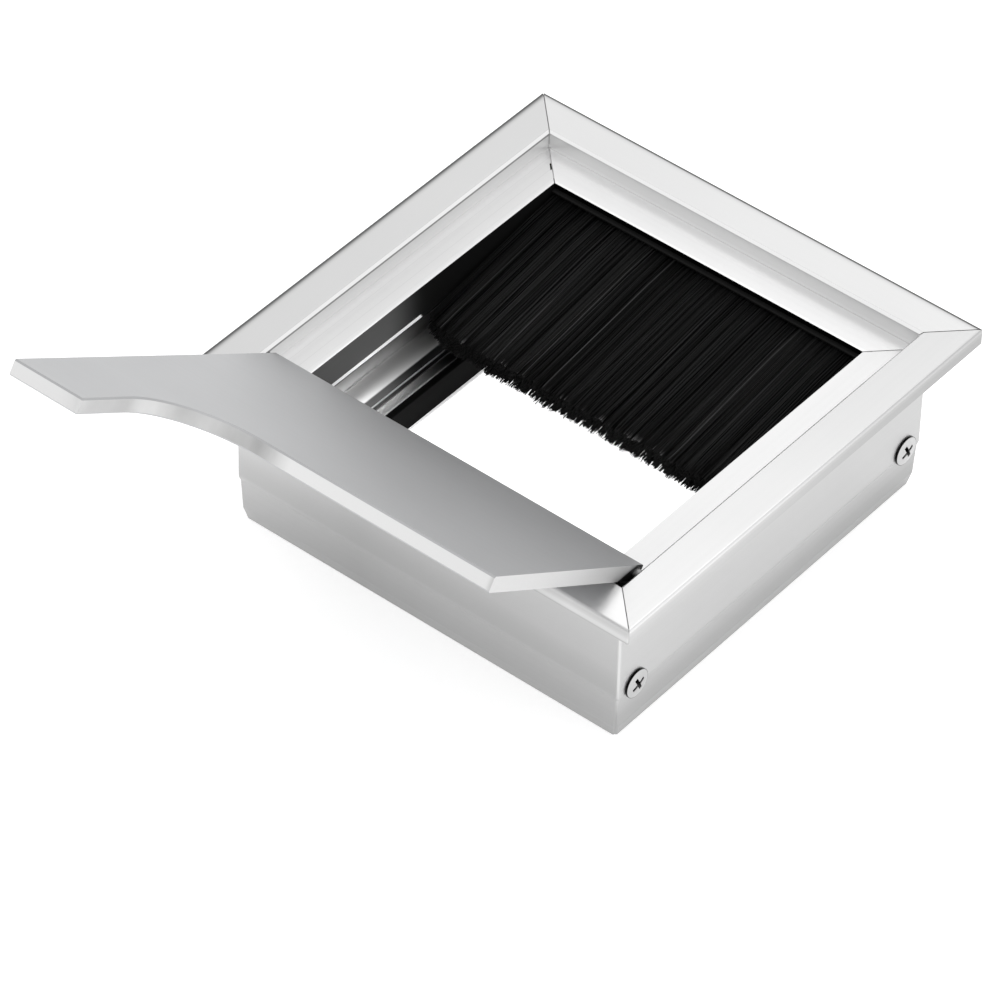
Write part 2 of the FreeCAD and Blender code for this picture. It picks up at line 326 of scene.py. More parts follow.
def flange_and_wall(tree, at, tones):
    """Colour of the outer faces: a tone by depth or distance out, times a tone along the length, which
    paint in light and shade, with painted shade on the far sides and a painted highlight down the wall
    corners.
    """
    colour = ramp(tree, at.along, tones["top"])
    if "rim" in tones:
        colour = product(tree, colour, ramp(tree, at.outward, tones["rim"]))
        # Painted shade: the outer side of the back and left flanges is painted dark.
        side = product(tree, rises(tree, at.depth, 0.25, 0.45), at.on_flange)
        colour = blend(tree, side, colour, grey(FAR_SIDE_SHADE))
    else:
        edge = product(
            tree, ramp(tree, at.depth, tones["edge"]), ramp(tree, at.along, tones["edge_along"]))
        on_edge = rises(tree, at.outward, FLANGE_EDGE - 0.6, FLANGE_EDGE - 0.3)
        colour = blend(tree, product(tree, on_edge, at.on_flange), colour, edge)
    wall = product(tree, ramp(tree, at.depth, tones["wall"]), ramp(tree, at.along, tones["wall_along"]))
    colour = blend(tree, product(tree, at.under_flange, at.outside), colour, wall)
    # Painted highlight: a bright line down the wall's outer corners, fading towards the foot.
    corner = product(tree, falls(tree, at.off_mitre, 0.12, 0.34), at.under_flange, at.outside,
                     falls(tree, at.depth, 17, 25))
    return blend(tree, corner, colour, grey(WALL_CORNER_HIGHLIGHT))


print("tones of far sides and wall corners:", FAR_SIDE_SHADE, WALL_CORNER_HIGHLIGHT)

# %% [markdown]
# ## Recess, ledge, channel and lips
#
# The shut lid lies flush in the recess, a little above the ledge. Below the ledge,
# hidden in use, the section is open: an upper lip with a bead along its lower edge, a
# channel with the port for the screws, and a lower lip. The bead is painted white as a
# highlight. The channel is left as it was etched and rough; its tone by depth paints it
# darker towards the ledge as shade, and painted shade darkens it and the lips where the
# bristles cover them.

# %% Inner tones
CHANNEL_TONES = [(8.8, 0.45), (17.0, 0.50), (18.2, 0.75), (19.4, 0.90), (20.2, 1.0), (28.8, 1.0)]
BRUSH_SHADE = 0.10
LIP_SHADE = 0.12
HINGE_CORNER_SHADE = 0.05


def recess_and_ledge(tree, at, tones, colour):
    """Colour with the recess toned by depth and the ledge by distance out times place along."""
    # Painted light and shade from the tables: on the back and left the recess's top edge is a highlight
    # over a dark line, and their ledges are painted brighter near the recess wall against its shade.
    colour = blend(tree, at.inside, colour, ramp(tree, at.depth, tones["recess"]))
    at.on_ledge = product(tree, at.inside, rises(tree, at.depth, LEDGE_DEPTH - 0.06, LEDGE_DEPTH - 0.02))
    ledge = product(
        tree, ramp(tree, at.outward, tones["ledge"]), ramp(tree, at.along, tones["ledge_along"]))
    return blend(tree, at.on_ledge, colour, ledge)


def channel_and_lips(tree, at, tones, colour):
    """Colour with the channel toned by depth, painted shade by the brush, flat tones on the lips, a
    painted highlight on the bead and painted shade in the hinge corners.
    """
    at.channel = product(tree, at.under_ledge, at.inside)
    clear_of_brush = falls(tree, at.y, -2.0, 12.0)
    # Painted shade: the channel's tone by depth darkens it towards the ledge, and it turns dark where
    # the bristles cover it.
    channel_colour = blend(tree, clear_of_brush, grey(BRUSH_SHADE), ramp(tree, at.depth, CHANNEL_TONES))
    colour = blend(tree, at.channel, colour, channel_colour)
    at.on_lip = product(tree, at.inside, falls(tree, at.outward, LIP_FACE + 0.9, LIP_FACE + 1.1),
                        rises(tree, at.depth, LEDGE_DEPTH + 0.04, LEDGE_DEPTH + 0.10))
    near_brush = rises(tree, at.y, -10.0, -1.0)
    # Painted shade: the lips darken beside the brush.
    lip = blend(tree, near_brush, grey(tones["lip"]), grey(LIP_SHADE * tones["lip"]))
    colour = blend(tree, at.on_lip, colour, lip)
    # Painted highlight: the bead is painted white.
    bead = product(tree, at.on_lip, falls(tree, at.outward, LIP_FACE - 0.04, LIP_FACE - 0.01),
                   band(tree, at.depth, BEAD_TOP, BEAD_FOOT),
                   falls(tree, at.y, BEAD_END_Y - 0.2, BEAD_END_Y + 0.2))
    colour = blend(tree, bead, colour, grey(1.0))
    # Painted shade on the lower lip, nearly black on the left length.
    on_lower_lip = product(tree, at.on_lip, rises(tree, at.depth, LOWER_LIP_TOP - 0.2, LOWER_LIP_TOP))
    colour = blend(tree, on_lower_lip, colour, grey(tones["foot_lip"]))
    # Painted shade in the recess corners beside the hinge pins.
    hinge_corner_shade = product(tree, at.inside, rest_of(tree, at.under_ledge),
                           rises(tree, at.aside, 30.2, 30.8), falls(tree, at.y, -28.6, -28.2),
                           rises(tree, at.depth, 0.5, 0.8))
    return blend(tree, hinge_corner_shade, colour, grey(HINGE_CORNER_SHADE))


print("channel tones from", CHANNEL_TONES[0][1], "to", CHANNEL_TONES[-1][1])

# %% [markdown]
# ## The joints, and all zones together
#
# Where two lengths meet, a hairline of dirt shows the mitre, and a small nick from the
# saw sits on the ledge as a black spot of painted shade. Last of all the cloudy colour
# of the anodising is multiplied in.

# %% Frame metal
MITRE_TONE = 0.42
NICK_SHADE = 0.01
CHANNEL_ROUGHNESS = 0.68
LIP_ROUGHNESS = 0.9


def joint_lines(tree, at, tones, colour):
    """Colour with the dark line on the flange's diagonal, and a nick painted as a black spot of shade
    where the table asks for one.
    """
    mitre = product(tree, falls(tree, at.off_mitre, 0.10, 0.12), rises(tree, at.depth, 0.02, 0.03),
                    at.on_flange, falls(tree, at.outward, FLANGE_EDGE - 0.8, FLANGE_EDGE - 0.7))
    colour = blend(tree, mitre, colour, grey(MITRE_TONE))
    if not tones.get("nick"):
        return colour
    # Painted shade: a black spot for the nick on the ledge.
    nick = product(tree, falls(tree, at.off_mitre, 0.38, 0.44), at.on_ledge,
                   band(tree, at.outward, 30.2, 31.2), rises(tree, at.y, 0.0, 1.0))
    return blend(tree, nick, colour, grey(NICK_SHADE))


def frame_metal(name, tones):
    """Frame metal: the colour of each zone times the anodising's clouds, 1 at most."""
    material, tree, shader, clouds = grained_metal(
        name, GRAINS[tones["grain"]], grey(0.97), grey(1.03), (0.30, 0.44))
    at = place_on_section(tree, tones["grain"])
    colour = flange_and_wall(tree, at, tones)
    colour = recess_and_ledge(tree, at, tones, colour)
    colour = channel_and_lips(tree, at, tones, colour)
    colour = joint_lines(tree, at, tones, colour)
    colour = math_node(tree, "MINIMUM", product(tree, clouds, colour), 1.0)
    tree.links.new(colour, shader.inputs["Base Color"])
    gloss = shader.inputs["Roughness"].links[0].from_socket
    gloss = blend(tree, at.channel, gloss, grey(CHANNEL_ROUGHNESS))
    gloss = blend(tree, at.on_lip, gloss, grey(LIP_ROUGHNESS))
    tree.links.new(gloss, shader.inputs["Roughness"])
    return material


print("tones of mitre line and nick:", MITRE_TONE, NICK_SHADE)

# %% [markdown]
# ## The tables of tones
#
# Each entry is a place in mm and a tone. Top, edge_along, wall_along and ledge_along
# run along the length, from minus to plus. Edge, wall and recess run down from the
# flange's top, and rim and ledge run out from the middle. The lips have one tone each.
# Most tones are painted light and shade: walls darker towards the foot, tops and edges
# lighter or darker along the length, painted reflections on rounded edges, a painted
# shadow of the lid on the front, highlights and dark lines at the recess's top edge,
# ledges brighter near the recess wall against its shade, and painted shade on the lips.

# %% Tones of the lengths at the front and the right
EVEN = [(-40, 1.0), (40, 1.0)]
NEAR_RECESS = [(0, 0.80), (0.4, 0.80), (0.5, 0.74), (3.1, 0.74)]
# Painted shade: the far walls darken towards the foot.
FAR_WALL = [(2.5, 0.49), (20.2, 0.49), (24.5, 0.40), (28.8, 0.38)]

# Painted light and shade: the front's wall and edge darken under a painted shadow of the lid, and its
# top brightens near the right end as a painted highlight. The right's top and edge fall off along the
# length, its edge table paints reflections on the rounding, and both walls darken towards the foot.
front_tones = {
    "grain": "x", "recess": NEAR_RECESS, "ledge_along": EVEN, "lip": 0.6, "foot_lip": 0.3,
    "top": [(-40, 0.73), (24, 0.73), (31, 0.87), (36, 0.86), (40, 0.80)],
    "edge": [(0, 0.75), (0.14, 0.62), (0.25, 0.53), (0.8, 0.53), (1.2, 0.57), (1.6, 0.64),
             (2.0, 0.64), (2.2, 0.58), (2.35, 0.46), (2.5, 0.42)],
    "edge_along": [(-40, 0.9), (22, 0.88), (30, 1.0), (40, 1.0)],
    "wall": [(2.5, 0.53), (9.5, 0.525), (13, 0.505), (15, 0.495), (17, 0.455), (19, 0.43),
             (20, 0.425), (20.6, 0.457), (24.5, 0.415), (28.8, 0.385)],
    "wall_along": [(-34, 1.10), (-12, 0.88), (10, 0.96), (30, 1.0)],
    "ledge": [(28, 0.78), (33.6, 0.78)]}
right_tones = {
    "grain": "y", "recess": NEAR_RECESS, "ledge_along": EVEN, "lip": 0.6, "foot_lip": 0.3,
    "top": [(-40, 0.75), (-30, 0.73), (-10, 0.689), (10, 0.645), (30, 0.627), (40, 0.62)],
    "edge": [(0, 0.70), (0.05, 0.73), (0.12, 0.86), (0.17, 0.82), (0.25, 0.685), (0.34, 0.64),
             (0.45, 0.585), (0.6, 0.54), (0.8, 0.53), (1.0, 0.517), (1.2, 0.495), (2.5, 0.485)],
    "edge_along": [(-40, 1.12), (-20, 1.08), (-10, 1.04), (0, 0.96), (10, 0.89), (20, 0.84),
                   (30, 0.79), (40, 0.76)],
    "wall": [(2.5, 0.54), (19.8, 0.54), (24.5, 0.42), (28.8, 0.38)],
    "wall_along": [(-34, 1.03), (34, 0.98)],
    "ledge": [(28, 0.73), (33.6, 0.72)]}
print("entries for the front and right edges:", len(front_tones["edge"]), len(right_tones["edge"]))

# %% Tones of the lengths at the back and the left
# Painted light and shade: the back's top darkens along the length, the back and left rims end in a
# painted dark line, their recesses and ledges are painted as above, and their lips are painted dark as
# shade, nearly black on the left's lower lip.
back_tones = {
    "grain": "x", "wall": FAR_WALL, "wall_along": EVEN, "lip": 0.03, "foot_lip": 0.3,
    "top": [(-40, 0.783), (40, 0.675)],
    "rim": [(38.5, 1.0), (38.9, 0.97), (39.1, 0.92), (39.35, 0.82), (39.55, 0.20), (39.7, 0.11)],
    "recess": [(0, 0.97), (0.36, 0.97), (0.42, 0.60), (0.7, 0.70), (0.9, 0.713), (2.4, 0.713),
               (3.1, 0.80)],
    "ledge": [(28.0, 0.97), (28.3, 0.90), (28.6, 0.80), (30, 0.79), (31, 0.84), (31.6, 0.97),
              (31.9, 1.0), (33.4, 1.0), (33.52, 0.84), (33.6, 0.76)],
    "ledge_along": [(-28, 1.06), (0, 1.02), (28, 0.97)]}
left_tones = {
    "grain": "y", "wall": FAR_WALL, "wall_along": EVEN, "lip": 0.16, "foot_lip": 0.010,
    "nick": True, "top": [(-40, 0.70), (40, 0.70)],
    "rim": [(38.5, 1.0), (38.7, 0.98), (38.9, 0.92), (39.1, 0.80), (39.3, 0.55), (39.5, 0.26),
            (39.7, 0.14)],
    "recess": [(0, 0.97), (0.36, 0.97), (0.42, 0.25), (0.66, 0.33), (0.8, 0.77), (2.5, 0.775),
               (3.1, 0.84)],
    "ledge": [(28.0, 0.95), (28.15, 0.88), (28.4, 0.78), (28.9, 0.75), (28.95, 0.70), (29, 0.745),
              (30.3, 0.74), (30.36, 0.66), (30.42, 0.74), (31, 0.77), (31.6, 0.79), (32.14, 0.84),
              (32.2, 0.75), (32.26, 0.85), (32.8, 0.91), (33.4, 0.88), (33.6, 0.80)],
    "ledge_along": [(-40, 1.06), (-20, 1.05), (0, 1.01), (40, 1.0)]}
all_tones = {"front": front_tones, "right": right_tones, "back": back_tones, "left": left_tones}
print("entries for the back and left ledges:", len(back_tones["ledge"]), len(left_tones["ledge"]))

# %% Dress the four lengths
for side_name, tones in all_tones.items():
    length_name = "frame_" + side_name
    dress(length_name, frame_metal(length_name + "_metal", tones))

# %% [markdown]
# ## The lid's plate
#
# The lid is cut from rolled plate. It has the same anodising, but the plate is a shade
# cooler and a little duller than the drawn lengths, with a finer grain. Its cut edges
# carry a painted highlight that changes along the lid, streaked by the cutter in the
# notch, and the rolled edge at the hinge and the ends beside the pins are painted dark
# as shade. The lid leans as it stands open, so the edges are found by two numbers: the
# distance from the hinge along the plate, and how far a face is turned towards the
# plate's own upright. Both stay with the lid as it moves.

# %% Lid metal
lid_open_angle = math.radians(146.4)
hinge_y = -29.483 * MM
hinge_z = -1.2 * MM
LID_GRAIN = (10, 2600, 2600)
CUTTER_STREAKS = (260, 90, 90)
LID_EDGE_HIGHLIGHTS = [(-33, 0.80), (-21, 0.78), (-18, 0.60), (-8, 0.56), (-2, 0.84), (32, 0.80),
                  (32.6, 0.64)]
ROLLED_EDGE_SHADE = 0.16
HINGE_END_SHADE = 0.05


def place_on_plate(tree, y, z):
    """Distance from the hinge along the plate, and how flat a face lies in the plate, 0 to 1.

    The distance is the way in Y times the cosine of the opening angle plus the way in Z
    times its sine. Flatness is the face's direction times the plate's own upright.
    """
    cosine = math.cos(lid_open_angle)
    sine = math.sin(lid_open_angle)
    along_plate = math_node(
        tree, "ADD", product(tree, math_node(tree, "SUBTRACT", y, hinge_y), cosine),
        product(tree, math_node(tree, "SUBTRACT", z, hinge_z), sine))
    facing = tree.nodes.new("ShaderNodeVectorMath")
    facing.operation = "DOT_PRODUCT"
    facing.inputs[1].default_value = (0, -sine, cosine)
    directions = tree.nodes.new("ShaderNodeTexCoord")
    tree.links.new(directions.outputs["Normal"], facing.inputs[0])
    return along_plate, math_node(tree, "ABSOLUTE", facing.outputs["Value"])


def lid_metal(name):
    """Plate metal with painted highlights on the cut edges, and painted shade on the rolled edge and the
    ends at the hinge.
    """
    material, tree, shader, colour = grained_metal(
        name, LID_GRAIN, (0.465, 0.468, 0.475), (0.51, 0.513, 0.52), (0.42, 0.52))
    x, y, z = place_on_piece(tree)
    along_plate, flatness = place_on_plate(tree, y, z)
    cut_edge = product(
        tree, rest_of(tree, soft_step(tree, flatness, 0.5, 0.6)), rises(tree, along_plate, 1.5, 2.5))
    # Painted highlight: the cut edges are painted brighter than the plate, less so in the notch.
    edge_highlight = ramp(tree, x, LID_EDGE_HIGHLIGHTS)
    streaks = remap(tree, stretched_noise(tree, CUTTER_STREAKS), 0.62, 1.18)
    in_notch = band(tree, x, -20.5, -6.0, soft=4.0)
    edge_highlight = blend(tree, in_notch, edge_highlight, product(tree, edge_highlight, streaks))
    colour = blend(tree, cut_edge, colour, edge_highlight)
    # Painted shade along the rolled edge at the hinge.
    rolled_edge_shade = falls(tree, along_plate, -1.15, -0.95)
    colour = blend(tree, rolled_edge_shade, colour, grey(ROLLED_EDGE_SHADE))
    # Painted shade on the lid's ends beside the pins, down in the recess gap.
    hinge_end_shade = product(
        tree, rises(tree, math_node(tree, "ABSOLUTE", x), LID_END_X - 0.10, LID_END_X - 0.02),
        falls(tree, z, -0.1, 0.35))
    colour = blend(tree, hinge_end_shade, colour, grey(HINGE_END_SHADE))
    tree.links.new(colour, shader.inputs["Base Color"])
    return material


dress("lid", lid_metal("lid_plate"))

# %% [markdown]
# ## Screws and pins
#
# The screws are plated steel: smooth, with a hint of unevenness from the plating bath.
# Painted shade lies round the head's rim and down in the cross, and without it the head
# would melt into the wall. The pins are plain drawn steel, darker and rougher. One
# noise is enough for parts this small: colour, gloss and height all follow it.

# %% Steel
STEEL_FINENESS = 900
STEEL_HEIGHT = 0.000004
SCREW_Y = 30.75
SCREW_DEPTH = 20.0
RIM_SHADE_TONE = 0.01
CROSS_SHADE_TONE = 0.05


def speckled(name, fineness, dark, light, roughness, bump):
    """Material whose colour, gloss and height all follow one noise, of so many waves per metre."""
    material, tree, shader = new_material(name)
    speckles = stretched_noise(tree, (fineness,) * 3)
    colour = blend(tree, speckles, dark, light)
    tree.links.new(colour, shader.inputs["Base Color"])
    tree.links.new(remap(tree, speckles, *roughness), shader.inputs["Roughness"])
    add_bump(tree, shader, speckles, bump)
    return material, tree, shader, colour


def steel(name, dark, light, roughness):
    """Small steel part with a slightly uneven surface."""
    material, tree, shader, colour = speckled(
        name, STEEL_FINENESS, grey(dark), grey(light), roughness, STEEL_HEIGHT)
    shader.inputs["Metallic"].default_value = 1.0
    return material, tree, shader, colour


def screw_plating(name):
    """Plated screw with painted shade round the rim and in the cross, by distance from its axis.

    The distance is the root of the squares of the ways in Y and Z from the axis.
    """
    material, tree, shader, colour = steel(name, dark=0.49, light=0.58, roughness=(0.25, 0.38))
    x, y, z = place_on_piece(tree)
    sideways = math_node(tree, "SUBTRACT", math_node(tree, "ABSOLUTE", y), SCREW_Y * MM)
    upwards = math_node(tree, "ADD", z, SCREW_DEPTH * MM)
    squares = math_node(
        tree, "ADD", product(tree, sideways, sideways), product(tree, upwards, upwards))
    from_axis = math_node(tree, "SQRT", squares)
    # Painted shade round the head's rim.
    colour = blend(tree, rises(tree, from_axis, 2.20, 2.26), colour, grey(RIM_SHADE_TONE))
    # Painted shade down in the cross.
    cross = product(tree, falls(tree, from_axis, 1.45, 1.55),
                    falls(tree, math_node(tree, "ABSOLUTE", x), 35.02, 35.08))
    colour = blend(tree, cross, colour, grey(CROSS_SHADE_TONE))
    tree.links.new(colour, shader.inputs["Base Color"])
    return material


screw_metal = screw_plating("screw_plating")
pin_metal = steel("pin_steel", dark=0.30, light=0.42, roughness=(0.35, 0.50))[0]
for node in sorted(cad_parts):
    if node.startswith("corner_screw"):
        dress(node, screw_metal)
    if node.startswith("hinge_pin"):
        dress(node, pin_metal)

# %% [markdown]
# ## The bristle carrier
#
# The bristles are moulded into a black bar that slides behind the back ledge. It is
# hardly seen, so a plain satin plastic with a fine moulded grain is enough.

# %% Carrier plastic
BLACK_GLOSS = 0.15
carrier_plastic, _, shader, _ = speckled(
    "carrier_plastic", fineness=2400, dark=grey(0.003), light=grey(0.006),
    roughness=(0.55, 0.75), bump=0.00001)
shader.inputs["Specular IOR Level"].default_value = BLACK_GLOSS
dress("brush_carrier", carrier_plastic)

# %% [markdown]
# ## The filaments' centre lines
#
# A brush strip is thousands of nylon filaments of about 0.2 mm. They could be hair
# particles, but hair isn't a mesh and can't be handed on as one, so each filament is
# a thin three-sided tube here, and all of them are worked out at once as arrays.
#
# The sizes come first. The strip's box is read from the solids, so the filaments grow
# out of the carrier's groove and keep to the width that the block had.

# %% Sizes of the brush
carrier_low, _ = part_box("brush_carrier")
_, brush_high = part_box("brush_bristles")
root_y = carrier_low.y
groove_depth = brush_high.y - root_y
root_height = 3.6 * MM
root_z = brush_high.z - root_height / 2
brush_half_width = brush_high.x - 0.05 * MM
droop = math.radians(8.5)
droop_radius = 25.0 * MM
arc_length = droop_radius * droop
filament_length = 29.7 * MM
longest_filament = 30.7 * MM
filament_radius = 0.105 * MM
filament_count = 5000
ring_shares = np.array([0.0, 0.22, 0.46, 0.70, 0.88, 0.97, 1.0])
print("root at y", round(root_y, 5), "z", round(root_z, 5), "half width", round(brush_half_width, 5))

# %% [markdown]
# ## The droop
#
# A strip that is held at one side bends down under its own weight: most near the root,
# where it carries all the rest, and hardly at all towards the tips. A short arc with a
# straight line after it comes near enough, and it is easy to work out.

# %% Droop
def droop_place(along, offset):
    """Y and Z of points on the drooping strip, and the angle of the strip there.

    The strip's middle line turns down by an angle that grows with the way along, up
    to the full droop at the end of the arc, and goes straight on from there. Offset is
    the distance above that line, square to it.
    """
    angle = droop * np.clip(along / arc_length, 0, 1)
    straight = np.maximum(along - arc_length, 0) + np.minimum(along, 0)
    forward = (droop_radius + offset) * np.sin(angle) + straight * np.cos(angle)
    rise = (droop_radius + offset) * np.cos(angle) - droop_radius - straight * np.sin(angle)
    return root_y - forward, root_z + rise, angle


print("the arc is", round(arc_length / MM, 2), "mm long")

# %% [markdown]
# ## Roots, tufts and lengths
#
# Filaments are bundled before they are moulded in, so they hang together in tufts of
# uneven width, and the tips of a tuft close up. The strip is trimmed along one line,
# but not perfectly: single filaments stand out, the lower ones are a little longer,
# and small groups of them form teeth. At the left end the strip is worn shorter.

# %% Roots and tufts
def scatter_roots(rng):
    """X of each root, even over the width, and its offset from the strip's middle line."""
    root_x = rng.uniform(-brush_half_width, brush_half_width, filament_count)
    offset = rng.uniform(-0.5, 0.5, filament_count) * root_height
    return root_x, offset


def draw_tufts(rng, root_x):
    """The tuft of every filament: its middle, half width, pull, extra length and tone.

    Tufts follow one another over the width, each 0.7 to 2.3 mm wide, until less than
    0.5 mm is left, which goes to the last one.
    """
    borders = np.cumsum(rng.uniform(0.7, 2.3, 60)) * MM - brush_half_width
    borders = borders[borders < brush_half_width - 0.5 * MM]
    borders = np.concatenate([[-brush_half_width], borders, [brush_half_width]])
    tuft = np.clip(np.searchsorted(borders, root_x) - 1, 0, len(borders) - 2)
    middle = (borders[:-1] + borders[1:]) / 2
    half_width = (borders[1:] - borders[:-1]) / 2
    pull = rng.uniform(0.10, 0.45, len(middle))
    extra = rng.normal(0, 0.04, len(middle)) * MM
    tone = rng.uniform(0, 1, len(middle)) ** 1.5
    return SimpleNamespace(middle=middle[tuft], half_width=half_width[tuft], pull=pull[tuft],
                           extra=extra[tuft], tone=tone[tuft])


print("roots are spread over", round(2 * brush_half_width / MM, 1), "mm")

# %% Lengths
TOOTH_WIDTH = 0.55 * MM
WORN_WIDTH = 4 * MM
WORN_LENGTH = 1.85 * MM


def draw_lengths(rng, root_x, top_share, tufts):
    """Length of every filament.

    It is the strip's length, plus the tuft's extra and a random one that is larger
    low down, plus 0.45 mm times the share below the top. A tooth's random length is
    added by that share to the power 1.5. Four filaments in a thousand stand out, and
    the left end is worn shorter in a straight slope.
    """
    ragged = 0.02 + 0.06 * (1 - top_share) ** 2
    length = filament_length + tufts.extra + ragged * rng.normal(0, 1, filament_count) * MM
    length = length + 0.45 * MM * (1 - top_share)
    tooth = ((root_x + brush_half_width) / TOOTH_WIDTH).astype(int)
    tooth_length = rng.normal(0, 0.13, tooth.max() + 1) * MM
    length = length + tooth_length[tooth] * (1 - top_share) ** 1.5
    longer = rng.random(filament_count) < 0.004
    length = length + np.where(longer, rng.uniform(0.15, 0.45, filament_count) * MM, 0)
    from_left = np.clip((root_x + brush_half_width) / WORN_WIDTH, 0, 1)
    length = length - WORN_LENGTH * (1 - from_left)
    return np.minimum(length, longest_filament)


print("filaments of", round(filament_length / MM, 1), "mm,", round(longest_filament / MM, 1), "at most")

# %% [markdown]
# ## Leaning and curling
#
# On its way from the root to the tip a filament leans towards the middle of its tuft,
# wanders a little of its own accord, and curls in its last part. A few strays lean
# further and lift off the strip. The top of each tuft is a flat crown that sinks
# towards its borders, so that the tufts read as bundles and not as one sheet.

# %% Filament lines
STRAY_SHARE = 0.012
CURL_START = 0.88


def filament_lines(rng):
    """Centre lines as an array of filament, ring and X Y Z, the local up direction, and their data.

    X is the root's X, plus the pull towards the tuft's middle times the top share to
    the power 1.5 times the share of the way to the power 1.4, plus the filament's own
    lean times the share squared. The offset grows by 4 % on the way and sinks by the
    crown, which is the way across the tuft to the power 4. The curl is the share of
    the way into the last eighth, squared, times a random reach.
    """
    root_x, offset = scatter_roots(rng)
    tufts = draw_tufts(rng, root_x)
    top_share = 0.5 + offset / root_height
    length = draw_lengths(rng, root_x, top_share, tufts)
    across = (root_x - tufts.middle) / tufts.half_width
    crown = 0.65 * MM * across ** 4 * top_share ** 2
    along = ring_shares[None, :] * (length + groove_depth)[:, None] - groove_depth
    way = np.clip(along / length[:, None], 0, 1)
    lean = rng.normal(0, 0.16, filament_count) * MM
    stray = rng.random(filament_count) < STRAY_SHARE
    lean[stray] *= 4.0
    x = root_x[:, None]
    x = x + ((tufts.middle - root_x) * tufts.pull * top_share ** 1.5)[:, None] * way ** 1.4
    x = x + lean[:, None] * way ** 2
    lift = np.where(stray, rng.uniform(0.0, 0.35, filament_count) * MM, 0)
    spread = offset[:, None] * (1 + 0.04 * way) + lift[:, None] * way
    spread = spread - crown[:, None] * np.clip(way / 0.15, 0, 1)
    curl_way = np.clip((way - CURL_START) / (1 - CURL_START), 0, 1) ** 2
    curl_x = rng.normal(0, 0.10, filament_count) * MM
    curl_up = rng.normal(-0.02, 0.05, filament_count) * MM
    x = x + curl_x[:, None] * curl_way
    spread = spread + curl_up[:, None] * curl_way
    x = np.clip(x, -brush_half_width, brush_half_width)
    y, z, angle = droop_place(along, spread)
    lines = np.stack([x, y, z], axis=2)
    up = np.stack([np.zeros_like(angle), np.sin(angle), np.cos(angle)], axis=2)
    return lines, up, top_share, tufts.tone, root_x


print("rings per filament:", len(ring_shares))

# %% [markdown]
# ## From lines to tubes
#
# Each ring is a small triangle round the centre line. Its corners lie at three angles
# in the plane of X and the local up direction, and the whole ring shrinks towards the
# tip. The rings of one filament are joined by quads, and both ends are closed.

# %% Tube mesh
def tube_mesh(name, lines, up, radius, turn):
    """Three-sided tubes: corner = centre + radius * (cos(angle) X + sin(angle) up)."""
    count, rings, _ = lines.shape
    angle = turn[:, None, None] + np.arange(3)[None, None, :] * (2 * math.pi / 3)
    sideways = np.array([1.0, 0.0, 0.0])
    ring = np.cos(angle)[..., None] * sideways + np.sin(angle)[..., None] * up[:, :, None, :]
    points = lines[:, :, None, :] + radius[:, :, None, None] * ring
    first = (np.arange(count) * rings * 3)[:, None, None]
    step = (np.arange(rings - 1) * 3)[None, :, None]
    side = np.arange(3)[None, None, :]
    nearer = first + step + side
    beside = first + step + (side + 1) % 3
    quads = np.stack([nearer, beside, beside + 3, nearer + 3], axis=3).reshape(-1, 4)
    start = (np.arange(count) * rings * 3)[:, None]
    root_cap = start + np.array([2, 1, 0])
    tip_cap = start + (rings - 1) * 3 + np.array([0, 1, 2])
    mesh = bpy.data.meshes.new(name)
    faces = quads.tolist() + root_cap.tolist() + tip_cap.tolist()
    mesh.from_pydata(points.reshape(-1, 3), [], faces)
    mesh.shade_smooth()
    mesh.update()
    return mesh


rng = np.random.default_rng(7)
lines, up, top_share, tuft_tone, root_x = filament_lines(rng)
thin = 1 - 0.35 * ring_shares[None, :] ** 3
radius = filament_radius * rng.uniform(0.8, 1.15, filament_count)[:, None] * thin
turn = rng.uniform(0, 2 * math.pi, filament_count)
mesh = tube_mesh("bristles", lines, up, radius, turn)
print("filaments:", filament_count, "faces:", len(mesh.polygons))

# %% [markdown]
# ## A tone for every filament
#
# Light catches a brush on its top layer only, and there on single filaments. A tone
# number for every ring of every filament says how much it catches. It can't come from
# a noise in the material, because a noise runs across the filaments, so it is worked
# out here and kept on the mesh.

# %% Tones along the filaments
TOP_LAYER = 0.93
GLINT_SPOTS = 11
GLINT_TONE = 2.0


def filament_tones(rng, top_share, tuft_tone, root_x):
    """Tone of every ring of every filament.

    Eight in a hundred of the top layer are at 1. All others mix their tuft's tone with
    one of their own, times the top share squared. The roots and the left corner are
    shaded, the tips below the top layer are darker, and the tips of the top layer near
    a few random spots are at 2, which the material takes for a glint.
    """
    own_tone = 0.65 * tuft_tone + 0.35 * rng.random(filament_count)
    on_top = top_share > TOP_LAYER
    spots = rng.uniform(-brush_half_width, brush_half_width, GLINT_SPOTS)
    from_spot = np.abs(root_x[:, None] - spots[None, :]).min(axis=1)
    bright = on_top & (rng.random(filament_count) < 0.08)
    own_tone = np.where(bright, 1.0, 0.42 * own_tone * top_share ** 2)
    left_corner = np.clip((root_x + brush_half_width) / (7 * MM), 0, 1)
    clear = np.clip(0.15 + 1.1 * ring_shares[None, :] + 0.9 * left_corner[:, None] - 0.7, 0.05, 1)
    tone = own_tone[:, None] * clear
    tone[~on_top, -2:] *= 0.2
    tone[on_top & (from_spot < 0.30 * MM), -1] = GLINT_TONE
    return tone


tone = np.repeat(filament_tones(rng, top_share, tuft_tone, root_x).reshape(-1), 3)
mesh.attributes.new("tone", "FLOAT", "POINT").data.foreach_set("value", tone)
bristles = bpy.data.objects.new("bristles", mesh)
bpy.context.collection.objects.link(bristles)
print("tones kept on the mesh:", len(tone))

# %% [markdown]
# ## Nylon
#
# Black nylon is nearly as dark as soot, with a soft sheen along each filament. The
# material turns the tone number from the mesh into a slightly different black and
# gloss, so that the tufts don't look printed. The tone number carries painted light
# and shade, and tones above 1.3 stand for painted glints at the tips.

